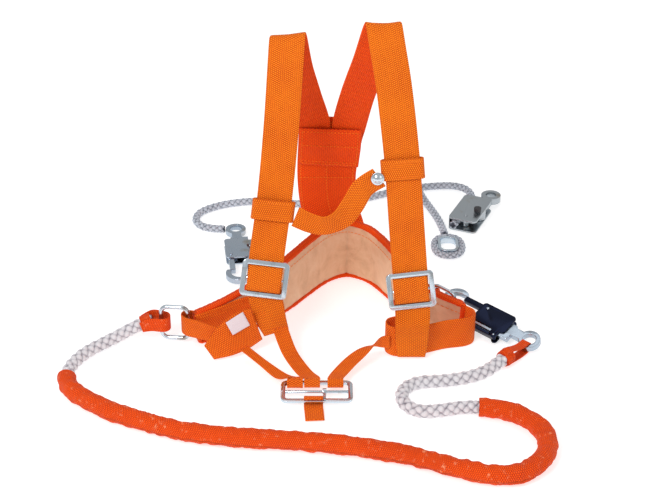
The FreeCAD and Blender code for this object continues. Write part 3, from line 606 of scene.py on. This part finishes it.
# Webbing --------------------------------------------------------------------------------------
class Band:
    """A webbing piece: a smooth ribbon through stations (x, y, z, across xyz, width), in mm."""

    def __init__(self, stations, thick, offset=0.0, wave=0.5, seed=1, step=3.0):
        self.thick = thick
        self.rings = []
        rows = smooth_line([tuple(s) for s in stations], step)
        centres = [Vector(r[:3]) for r in rows]
        total = 0.0
        for i, row in enumerate(rows):
            ahead = (centres[min(i + 1, len(rows) - 1)] - centres[max(i - 1, 0)]).normalized()
            across = Vector(row[3:6])
            across = (across - ahead * across.dot(ahead)).normalized()
            normal = ahead.cross(across).normalized()
            if i:
                total += (centres[i] - centres[i - 1]).length
            ease = min(1.0, total / 20.0)
            ripple = noise.noise(Vector((seed * 7.3, total * 0.016, 0.0))) * wave * 1.6 * ease
            place = centres[i] + normal * (offset + ripple)
            self.rings.append((place, across, normal, row[6], total))
        self.wave = wave
        self.seed = seed

    def surface(self, s, u, lift):
        """A point s mm along and u mm across, lift mm off the middle of the webbing."""
        low = 0
        while low < len(self.rings) - 2 and self.rings[low + 1][4] < s:
            low += 1
        a, b = self.rings[low], self.rings[low + 1]
        t = min(max((s - a[4]) / max(b[4] - a[4], 1e-6), 0.0), 1.0)
        place, across, normal = (a[k].lerp(b[k], t) for k in range(3))
        return (place + across * u + normal * (lift + self.bulge(s, u, a[3]))) * MM + SHIFT

    def bulge(self, s, u, width):
        """How far the edges curl up or down, in mm."""
        x = 2 * u / width
        curl = noise.noise(Vector((self.seed * 3.1 + (2.0 if x > 0 else 0.0), s * 0.03, 1.7)))
        return self.wave * curl * abs(x) ** 3

    def build(self, name, shaded_side=False):
        """The mesh; the flag marks the side that faces the wearer, which gets a painted shade."""
        verts, uvs, painted_shading = [], [], []
        inner = [-1.0, -0.93, -0.8, -0.6, -0.3, 0.0, 0.3, 0.6, 0.8, 0.93, 1.0]
        lifts = [0.55, 0.98, 1.0, 0.9, 0.9, 0.9, 0.9, 0.9, 1.0, 0.98, 0.55]
        section = [(x, h) for x, h in zip(inner, lifts)]
        section += [(1.02, 0.0)]
        section += [(x, -h) for x, h in zip(reversed(inner), reversed(lifts))]
        section += [(-1.02, 0.0)]
        for place, across, normal, width, s in self.rings:
            for x, h in section:
                u = x * width / 2
                lift = h * self.thick / 2 + self.bulge(s, max(min(u, width / 2), -width / 2), width)
                verts.append((place + across * u + normal * lift) * MM + SHIFT)
                uvs.append((u * MM + (0.0 if h >= 0 else 0.003), s * MM))
                # 1 on the wearer's side, which the material paints in shade
                painted_shading.append(1.0 if shaded_side and h > 0 else 0.0)
        return new_mesh(name, verts, tube_faces(len(self.rings), len(section)), uvs, painted_shading=painted_shading)


STITCHES = []
THREAD_RADIUS = 0.00042
THREAD_LIFT = 0.15                          # mm above the webbing


def sew(band, corners, side=1, body="harness", pitch=4.6):
    """Stitches along straight rows between (s, u) corners, on one face of a band."""
    lift = side * (band.thick / 2 + THREAD_LIFT)
    for (s0, u0), (s1, u1) in zip(corners, corners[1:]):
        run = math.hypot(s1 - s0, u1 - u0)
        count = max(1, int(run / pitch))
        for i in range(count):
            a = (i + 0.12) / count
            b = (i + 0.85) / count
            start = band.surface(s0 + (s1 - s0) * a, u0 + (u1 - u0) * a, lift)
            end = band.surface(s0 + (s1 - s0) * b, u0 + (u1 - u0) * b, lift)
            STITCHES.append((start, end, body))


def sewn_box(band, s0, s1, u, side=1):
    """The box and cross that fastens webbing to webbing."""
    sew(band, [(s0, -u), (s1, -u), (s1, u), (s0, u), (s0, -u)], side)
    sew(band, [(s0, -u), (s1, u)], side)
    sew(band, [(s0, u), (s1, -u)], side)


def build_stitches():
    by_body = {}
    for start, end, body in STITCHES:
        by_body.setdefault(body, []).append((start, end))
    for body, rows in by_body.items():
        verts, faces = [], []
        for start, end in rows:
            run = (end - start).normalized()
            side = run.orthogonal().normalized()
            up = run.cross(side)
            base = len(verts)
            for t, r in ((0.0, 0.15), (0.12, 0.8), (0.5, 1.0), (0.88, 0.8), (1.0, 0.15)):
                centre = start.lerp(end, t)
                for k in range(6):
                    a = math.pi * k / 3
                    verts.append(centre + (side * math.cos(a) + up * math.sin(a)) * r * THREAD_RADIUS)
            faces += tube_faces(5, 6, True, base)
        obj = new_mesh("stitching_" + body, verts, faces, [(0.0, 0.0)] * len(verts))
        finish_piece(obj, body, "orange_webbing", THREAD)


PAD_LINE = [
    (-168, 2, 46), (-132, 17, 56), (-98, 38, 66), (-70, 64, 74), (-46, 92, 80), (-20, 130, 84),
    (6, 163, 86), (34, 177, 86), (62, 164, 85), (82, 138, 82), (102, 102, 76), (124, 66, 64),
    (150, 42, 54), (186, 28, 44),
]
PAD_THICK = 9.2
SEAM_X = 33.0                               # the pad's centre seam
WEB = 2.5


def standing(points, width, lift=0.0):
    """Stations of a band that stands on its edge."""
    return [(x, y, lift + width / 2, 0, 0, 1, width) for x, y in points]


def waist():
    stations = [(x, y, h / 2, 0, 0, 1, h) for x, y, h in PAD_LINE]
    rows = Band(stations, PAD_THICK, 0.6, 0.0, 3, 3.0)
    pad = pad_shape(rows)
    finish_piece(pad, "harness", "suede", SUEDE, "waist_pad_foam", "waist_pad_lining")
    edge = [place + across * (width / 2 + 0.6) for place, across, _, width, _ in rows.rings]
    lower = [place - across * (width / 2 - 2.6) for place, across, _, width, _ in rows.rings]
    outline = edge + [edge[-1].lerp(lower[-1], t) for t in (0.2, 0.4, 0.6, 0.8)] + lower[::-1]
    outline += [lower[0].lerp(edge[0], t) for t in (0.2, 0.4, 0.6, 0.8)]
    binding = edge_binding("pad_binding", outline, 6.4, 2.6)
    finish_piece(binding, "harness", "red_orange_webbing", RED_ORANGE, "waist_pad_binding")
    belt = Band(standing([(x, y) for x, y, h in PAD_LINE], 43.0, 1.5), WEB, -6.0, 0.3, 5)
    finish_piece(belt.build("belt_webbing"), "harness", "red_orange_webbing", RED_ORANGE,
                 "waist_belt_webbing")
    total = belt.rings[-1][4]
    for row in (-17.0, 17.0):
        sew(belt, [(6.0, row), (total - 6.0, row)], -1)
    sew_points([place + across * (width / 2 - 11.0) + normal * (PAD_THICK / 2 + 1.0)
                for place, across, normal, width, _ in rows.rings][::2])


def sew_points(points, body="harness"):
    """Stitches along a line of points in mm."""
    for a, b in zip(points, points[1:]):
        STITCHES.append(((a.lerp(b, 0.1)) * MM + SHIFT, (a.lerp(b, 0.85)) * MM + SHIFT, body))


def pad_shape(rows):
    """The suede pad: crowned, soft at its edges, gathered along its centre seam."""
    verts = []
    across_steps = 26
    seam = next(s for place, _, _, _, s in rows.rings if place.x > SEAM_X)
    for face in (1, -1):
        for place, across, normal, width, s in rows.rings:
            for k in range(across_steps + 1):
                x = -1 + 2 * k / across_steps
                end = min(1.0, s / 14.0, (rows.rings[-1][4] - s) / 14.0)
                crown = (1 - abs(x) ** 5) ** 0.5 * (0.35 + 0.65 * end ** 0.5)
                thick = PAD_THICK / 2 * (0.45 + 0.55 * crown)
                gap = abs(s - seam)
                groove = 2.3 * math.exp(-(gap / 2.2) ** 2)
                pleat = math.sin(x * 21.0 + noise.noise(Vector((x * 3, s * 0.05, 2))) * 3)
                gather = 0.9 * math.exp(-gap / 16.0) * (1 - math.exp(-gap / 3.0)) * pleat
                dents = noise.noise(Vector((s * 0.035, x * 1.6, 4.0))) * 1.3
                dents += noise.noise(Vector((s * 0.12, x * 4.2, 9.0))) * 0.45
                lift = face * (thick - (groove if face > 0 else 0.0)) + (gather + dents if face > 0 else 0)
                verts.append((place + across * (x * width / 2 * 0.985) + normal * lift) * MM + SHIFT)
    cols = across_steps + 1
    rings = len(rows.rings)
    faces = []
    for i in range(rings - 1):
        for k in range(across_steps):
            a = i * cols + k
            faces.append((a, a + cols, a + cols + 1, a + 1))
            b = a + rings * cols
            faces.append((b, b + 1, b + cols + 1, b + cols))
    back = rings * cols
    for i in range(rings - 1):
        a = i * cols
        faces.append((a, a + back, a + back + cols, a + cols))
        b = i * cols + across_steps
        faces.append((b, b + cols, b + cols + back, b + back))
    for k in range(across_steps):
        faces.append((k, k + 1, k + 1 + back, k + back))
        c = (rings - 1) * cols + k
        faces.append((c, c + back, c + back + 1, c + 1))
    obj = new_mesh("waist_pad", verts, faces)
    tidy = bmesh.new()
    tidy.from_mesh(obj.data)
    bmesh.ops.recalc_face_normals(tidy, faces=tidy.faces)
    tidy.to_mesh(obj.data)
    tidy.free()
    return obj


def edge_binding(name, outline, wide, thick):
    """Bias binding folded over an edge: a flattened tube round a closed outline, in mm."""
    count = len(outline)
    verts, uvs = [], []
    sides = 14
    total = 0.0
    for i, p in enumerate(outline):
        tangent = (outline[(i + 1) % count] - outline[i - 1]).normalized()
        radial = Vector((0, 0, 1)) if abs(tangent.z) < 0.8 else Vector((1, 0.4, 0)).normalized()
        out = (radial - tangent * radial.dot(tangent)).normalized()
        face = tangent.cross(out).normalized()
        total += (p - outline[i - 1]).length if i else 0.0
        pucker = 1.0 + 0.05 * math.sin(total * 0.9) + 0.08 * noise.noise(Vector((total * 0.1, 0, 0)))
        for k in range(sides):
            a = 2 * math.pi * k / sides
            x = math.copysign(abs(math.cos(a)) ** 0.6, math.cos(a)) * wide * 0.5
            y = math.copysign(abs(math.sin(a)) ** 0.6, math.sin(a)) * (PAD_THICK / 2 + thick * 0.35)
            verts.append((p + out * (x * pucker) + face * (y * pucker)) * MM + SHIFT)
            uvs.append((k / sides * 0.03, total * MM))
    faces = tube_faces(count, sides, False)
    for k in range(sides):
        a = (count - 1) * sides + k
        b = (count - 1) * sides + (k + 1) % sides
        faces.append((a, b, (k + 1) % sides, k))
    return new_mesh(name, verts, faces, uvs)


def belt_ends():
    up = (0, 0, 1)
    loop = [(191, 24, 22.5), (201, 14, 22.5), (201, 2, 22.5), (190, -7, 22.5), (164, -13, 22.5),
            (136, -24, 22.5), (108, -33, 23.5), (92, -34, 25.5), (84, -27, 27), (86, -17, 28),
            (100, -11, 28)]
    band = Band([(*p, *up, 44) for p in loop], WEB, 0.0, 0.8, 11)
    finish_piece(band.build("belt_loop_right"), "harness", "orange_webbing", SHADED_ORANGE,
                 "right_belt_loop")
    sewn_box(band, 70, 100, 17, 1)
    sew(band, [(30, -19), (150, -19)], 1)
    sew(band, [(30, 19), (150, 19)], 1)
    flap = Band([(-88, -20, 43, 0, 0, 1, 54), (-108, -28, 36, 0, 0.1, 1, 56),
                 (-130, -37, 25, 0, 0.2, 1, 44), (-150, -44, 13.5, 0, 0.2, 1, 24)], WEB, 0.0, 0.5, 12)
    finish_piece(flap.build("belt_flap_left"), "harness", "orange_webbing", SHADED_ORANGE,
                 "left_belt_flap")
    sew(flap, [(5, -26), (5, 26)], 1)
    label = Band([(-100.6, -27.0, 56, 0, 0.1, 1, 23), (-112, -31.7, 51, 0, 0.12, 1, 22),
                  (-123.2, -36.3, 46, 0, 0.15, 1, 21)], 0.6, 0.0, 0.4, 13)
    finish_piece(label.build("label_patch"), "harness", "label", LABEL, "blank_label")
    end = Band([(-168, -6, 28, *up, 40), (-140, 6, 30, *up, 44), (-112, 18, 33, *up, 50),
                (-92, 22, 35, *up, 54)], 3.0, 0.0, 0.9, 14)
    finish_piece(end.build("belt_end_left"), "harness", "orange_webbing", SHADED_ORANGE, "left_belt_end")
    sew(end, [(4, 15), (78, 20)], 1)
    sew(end, [(4, 11), (78, 16)], 1)


LEFT_STRAP = [
    (-62, -14, 26, 1, 0, 0, 34), (-72, -10, 58, 0.99, 0, -0.1, 42), (-77, 0, 101, 0.99, 0, -0.14, 45),
    (-63, 38, 202, 1, 0, -0.1, 45), (-54, 62, 290, 1, 0, 0.02, 45), (-48, 78, 370, 1, 0, 0.12, 45),
    (-46, 84, 398, 1, 0, 0.13, 45), (-45, 91, 406, 1, 0, 0.13, 45), (-43, 99, 400, 1, 0, 0.13, 45),
    (-36, 118, 350, 1, 0.1, 0.2, 45), (-25, 144, 298, 1, 0.05, 0.25, 45), (-13, 163, 246, 1, 0, 0.2, 45),
    (-12, 169, 215, 1, 0, 0.1, 36),
]
RIGHT_STRAP = [
    (117, -37.4, 3, 1, 0, 0, 36), (117, -37.4, 26, 1, 0, 0, 42), (117, -37.2, 51, 1, 0, 0.05, 44),
    (117.5, -29.05, 66, 1, 0, 0.1, 45), (115, -20, 96.5, 0.99, 0, 0.13, 45),
    (108, 5, 180.75, 0.995, 0, 0.115, 45), (101, 30, 265, 1, 0, 0.1, 45),
    (91, 60, 345, 1, 0, 0.03, 45), (82, 78, 396, 1, 0, 0, 45),
    (79, 84, 413, 1, 0, 0, 45), (77, 91, 421, 1, 0, 0, 45), (74, 99, 414, 1, 0, 0, 45),
    (62, 116, 362, 1, -0.05, -0.2, 45), (46, 142, 300, 1, -0.05, -0.25, 45),
    (35, 163, 243, 1, 0, -0.2, 45), (34, 169, 215, 1, 0, -0.1, 36),
]


def straps():
    left = Band(LEFT_STRAP, WEB, 0.0, 0.9, 21)
    finish_piece(left.build("strap_left", True), "harness", "orange_webbing", ORANGE, "left_shoulder_strap")
    right = Band(RIGHT_STRAP, WEB, 0.0, 0.15, 22)
    finish_piece(right.build("strap_right", True), "harness", "orange_webbing", ORANGE,
                 "right_shoulder_strap")
    sewn_box(right, 2, 34, 15, 1)
    panel = Band([(11, 174.5, 252, 1, 0, -0.1, 84), (9, 178, 215, 1, 0, -0.06, 84),
                  (5, 183, 160, 1, 0, -0.1, 80), (8, 189, 110, 1, 0, -0.05, 78),
                  (20, 190, 70, 1, 0, 0, 76), (24, 190, 46, 1, 0, 0, 74)], 4.0, 0.0, 1.2, 23)
    finish_piece(panel.build("back_panel"), "harness", "red_orange_webbing", RED_ORANGE, "dorsal_panel")
    for side in (1, -1):
        for row in (-37.0, 0.0, 37.0):
            sew(panel, [(6, row), (200, row * 0.94)], side)
        for s in (6, 96):
            sew(panel, [(s, -38), (s, 38)], side)
    facing = Band([(10, 159.8, 241, 1, 0, -0.08, 84), (9, 165.0, 213, 1, 0, -0.06, 84),
                   (8, 171.2, 195, 1, 0, -0.06, 83), (7, 175.6, 178, 1, 0, -0.08, 82)],
                  2.0, 0.0, 0.5, 28)
    finish_piece(facing.build("panel_facing"), "harness", "red_orange_webbing", RED_ORANGE,
                 "dorsal_panel_facing")
    for row in (-38.0, 38.0):
        sew(facing, [(4, row), (62, row)], 1)
    for s in (5, 28, 58, 62):
        sew(facing, [(s, -38), (s, 38)], 1)
    keeper = Band([(10, 183, 244, 1, 0, 0, 28), (10, 191, 236, 1, 0, 0, 28), (10, 195.2, 226, 1, 0, 0, 28),
                   (10, 195.4, 213, 1, 0, 0, 28), (10, 191.5, 208.6, 1, 0, 0, 28),
                   (10, 187, 208.6, 1, 0, 0, 28)], 1.8, 0.0, 0.0, 24)
    finish_piece(keeper.build("ring_keeper_back"), "harness", "red_orange_webbing", RED_ORANGE,
                 "dorsal_ring_keeper")
    chest = Band([(72, 19, 241, 0.2, 0, -1, 30), (52, 19, 226, 0.62, 0, -0.78, 30),
                  (38, 16, 202, 0.85, 0, -0.5, 30), (24, 14, 183, 0.62, 0.1, -0.78, 30),
                  (4, 14, 173, -0.1, 0.2, -1, 30), (-16, 18, 174, -0.25, 0.1, -1, 30),
                  (-36, 24, 181, -0.25, 0, -1, 30)], 2.0, 0.0, 0.5, 25)
    finish_piece(chest.build("chest_web"), "harness", "orange_webbing", ORANGE, "chest_strap")
    keeper_band("keeper_right", (102.3, 25.6, 250), (1, 0, 0.08), (-0.08, 0.284, 0.955),
                "right_chest_keeper", 26)
    keeper_band("keeper_left", (-65.2, 32, 186), (1, 0, -0.12), (0.13, 0.349, 0.928),
                "left_chest_keeper", 27)
    return left, right


def keeper_band(name, centre, across, up, cad_node, seed):
    """The chest strap's own loop round a shoulder strap."""
    c, a, u = Vector(centre), Vector(across).normalized(), Vector(up).normalized()
    n = a.cross(u).normalized()
    half, deep = 25.0, 5.2
    corners = [(half - 2, -deep), (half + 1, -deep * 0.6), (half + 2.2, 0), (half + 1, deep * 0.6),
               (half - 2, deep), (-half + 2, deep), (-half - 1, deep * 0.6), (-half - 2.2, 0),
               (-half - 1, -deep * 0.6), (-half + 2, -deep), (half - 6, -deep)]
    stations = [(*(c + a * s + n * d), *u, 27.0) for s, d in corners]
    band = Band(stations, 2.0, 0.0, 0.2, seed)
    finish_piece(band.build(name), "harness", "orange_webbing", ORANGE, cad_node)
    sew(band, [(12, -10), (46, -10)], -1)
    sew(band, [(12, 10), (46, 10)], -1)


def adjuster_humps():
    """Webbing humped over each adjuster's bar; it moves with the adjuster."""
    for side, centre, across, towards in (
        ("left", (-77, 0, 101), (0.99, 0, -0.14), (-63, 38, 202)),
        ("right", (115, -20, 96.5), (0.99, 0, 0.13), (101, 30, 265)),
    ):
        a = Vector(across).normalized()
        c = Vector(centre)
        up = (Vector(towards) - c).normalized()
        n = a.cross(up).normalized()
        up = n.cross(a)
        c = c + n * (WEB / 2 + 0.4 + 2.0)
        stations = [(*(c + up * 16.9 * math.cos(t) + n * (5.4 * math.sin(t) - 0.8)), *a, 44.0)
                    for t in [math.pi * k / 10 for k in range(11)]]
        hump = Band(stations, 2.2, 0.0, 0.25, 31 if side == "left" else 32)
        finish_piece(hump.build("hump_" + side), side + "_adjuster", "orange_webbing", ORANGE,
                     side + "_adjuster_hump")


def front_straps():
    bx, by, bz = -8.0, -130.0, 11.0
    leads = {
        "left_lower_waist_strap": (-36.0, [
            (-104, -40, 18, 0.8, 0.6, 0, 13), (-78, -66, 12, 1, 0.25, 0, 13),
            (-54, -92, 9, 1, 0.25, 0, 17)]),
        "left_upper_waist_strap": (-14.0, [
            (-57, -18, 36, 1, 0.3, 0.1, 20), (-44, -52, 20, 1, 0.25, 0, 20),
            (-26, -86, 13, 1, 0.25, 0, 20)]),
        "right_waist_strap": (16.0, [
            (88, -37.6, 27, 0.55, 0, 0.83, 20), (74, -39, 26, 0.7, -0.05, 0.7, 20),
            (58, -47, 22, 0.88, -0.15, 0.4, 20), (38, -64, 15, 1, -0.2, 0.1, 20),
            (22, -88, 12, 1, -0.25, 0, 20)]),
    }
    for n, (cad_node, (x, lead)) in enumerate(leads.items()):
        stations = lead + bar_wrap(x, by + 20.0, bz, 20.0)
        band = Band(stations, 1.6, 0.0, 0.4, 41 + n)
        finish_piece(band.build(cad_node + "_web"), "harness", "orange_webbing", SHADED_ORANGE, cad_node)
    tail = bar_wrap(bx - 4, by - 20.0, bz, 24.0, -1.0)
    tail += [(bx - 3, by - 36, 3.4, 1, 0.1, 0, 24.0), (bx - 2, by - 50, 2.2, 1, 0.1, 0, 24.0)]
    band = Band(tail, 1.8, 0.0, 0.2, 45)
    finish_piece(band.build("buckle_tail"), "harness", "orange_webbing", SHADED_ORANGE, "front_strap_tail")


def bar_wrap(x, y, z, width, reach=1.0):
    rows = ((4.5, 4.6), (0.0, 5.6), (-4.6, 3.6), (-5.8, 0.0), (-4.6, -3.6), (0.0, -5.6), (6.0, -5.4))
    return [(x, y + reach * dy, z + dz, 1, 0, 0, width) for dy, dz in rows]


LEFT_LOOP = [
    (-243, -0.6, 25, 0, 0, 1, 15), (-229, -0.6, 29, 0, 0, 1, 19), (-214, -5.0, 31, 0, 0, 1, 20),
    (-207, -2.2, 31, 0, 0, 1, 20), (-204.4, 4.8, 31, 0, 0, 1, 20), (-207, 11.8, 31, 0, 0, 1, 20),
    (-214, 15.6, 31, 0, 0, 1, 20), (-229, 22.2, 29, 0, 0, 1, 19), (-243, 18.8, 25, 0, 0, 1, 15),
]
HOOK_AT = Vector((275.0, -15.6, 13.4))
HOOK_X = Vector((-0.74, 0.669, 0.05)).normalized()
HOOK_Z = HOOK_X.cross(Vector((0.64, 0.70, 0.33))).normalized()
HOOK_Y = HOOK_Z.cross(HOOK_X)
RIGHT_LOOP = [
    (-52.3, -7.0), (-44.7, -4.5), (-32, 1.0), (-22, 4.7), (-13, 6.6), (-6.4, 5.2), (-4.4, 0.0),
    (-6.4, -5.2), (-13, -6.8), (-22, -10.4), (-32, -17.0), (-38.9, -22.4), (-46.5, -25.0),
]


def ring_webs():
    keeper = Band([(-134, -29, 29, 0, 0, 1, 24), (-152, -20.5, 30, 0, 0, 1, 26),
                   (-171, -11.5, 30, 0, 0, 1, 28), (-182, -6.5, 30, 0, 0, 1, 28),
                   (-188.5, 2, 30, 0, 0, 1, 28), (-187, 9.5, 30, 0, 0, 1, 28),
                   (-179, 12.5, 30, 0, 0, 1, 28), (-170, 10.5, 30, 0, 0, 1, 28)], 1.8, 0.0, 0.2, 51)
    finish_piece(keeper.build("ring_keeper_left"), "harness", "orange_webbing", SHADED_ORANGE,
                 "left_ring_keeper")
    bend = HOOK_AT + HOOK_X * 128.0 + HOOK_Y * 4.0
    far_bar = bend + HOOK_X * (19.0 + 20.0 - 2.5)
    stations = [(147, 62, 42, 0.8, -0.5, 0, 16), (146, 74, 42, 0.75, -0.2, -0.4, 15)]
    for out, up in ((5.6, -3.0), (4.2, 4.2), (0.0, 5.6), (-4.2, 4.2), (-5.6, -2.0)):
        stations.append((*(far_bar + HOOK_X * out + HOOK_Y * up), *HOOK_Z, 14))
    tab = Band(stations, 1.6, 0.0, 0.0, 52, 2.0)
    finish_piece(tab.build("ring_tab_right"), "harness", "red_orange_webbing", RED_ORANGE, "right_ring_tab")


def lanyard_loops():
    """The webbing loops that carry the lanyard: one on the side ring, one through the hook's eye."""
    left = Band(LEFT_LOOP, 1.8, 0.0, 0.15, 61, 2.0)
    right = Band([(*(HOOK_AT + HOOK_Y * y + HOOK_Z * n), *HOOK_X, 12.5) for y, n in RIGHT_LOOP],
                 1.8, 0.0, 0.1, 62, 1.5)
    out = []
    for band, name, node_name in ((left, "lanyard_loop_left", "left_lanyard_wrap"),
                                  (right, "lanyard_loop_right", "right_lanyard_wrap")):
        out.append(finish_piece(band.build(name), "harness", "sleeve_webbing", SLEEVE, node_name))
    return out


SOFT_NODES = {
    "lanyard_rope", "lanyard_sleeve", "left_lanyard_wrap", "right_lanyard_wrap", "rear_rope", "branch_rope",
    "spliced_eye", "waist_pad_foam", "waist_pad_lining", "waist_pad_binding", "waist_belt_webbing",
    "right_belt_loop", "left_belt_flap", "left_belt_end", "blank_label", "left_shoulder_strap",
    "right_shoulder_strap", "dorsal_panel", "dorsal_panel_facing", "dorsal_ring_keeper", "chest_strap",
    "left_chest_keeper", "right_chest_keeper", "left_adjuster_hump", "right_adjuster_hump",
    "left_lower_waist_strap", "left_upper_waist_strap", "right_waist_strap", "front_strap_tail",
    "left_ring_keeper", "right_ring_tab",
}


EDGE_ROUND = 0.00045                        # metres


def hardware():
    """Metal pieces: the CAD shape with its edges rounded and its own metal."""
    owners = {node: name for name, body in frame["record"]["behaviour"]["bodies"].items() for node in body}
    for part in frame["record"]["subparts"]:
        name, slot = part["node"], part["material_slot"]
        if name in SOFT_NODES:
            continue
        source = NODES[name]
        shape = bmesh.new()
        shape.from_mesh(source.data)
        shape.transform(source.matrix_world)
        bmesh.ops.remove_doubles(shape, verts=shape.verts, dist=1e-6)
        bmesh.ops.dissolve_limit(shape, angle_limit=math.radians(1.5), verts=shape.verts, edges=shape.edges)
        mesh = bpy.data.meshes.new(name + "_finish")
        shape.to_mesh(mesh)
        shape.free()
        obj = link(bpy.data.objects.new(name + "_finish", mesh))
        edges = obj.modifiers.new("rounded edges", "BEVEL")
        edges.width = EDGE_ROUND
        edges.segments = 2
        edges.limit_method = "ANGLE"
        edges.angle_limit = math.radians(38)
        edges.use_clamp_overlap = True
        apply_modifiers(obj)
        obj.data.polygons.foreach_set("use_smooth", [True] * len(obj.data.polygons))
        obj.data.set_sharp_from_angle(angle=math.radians(50))
        finish_piece(obj, owners[name], slot, SLOT_MATERIAL[slot], name)


camera_and_lights()
hardware()
ropes()
waist()
belt_ends()
straps()
adjuster_humps()
front_straps()
ring_webs()
build_stitches()
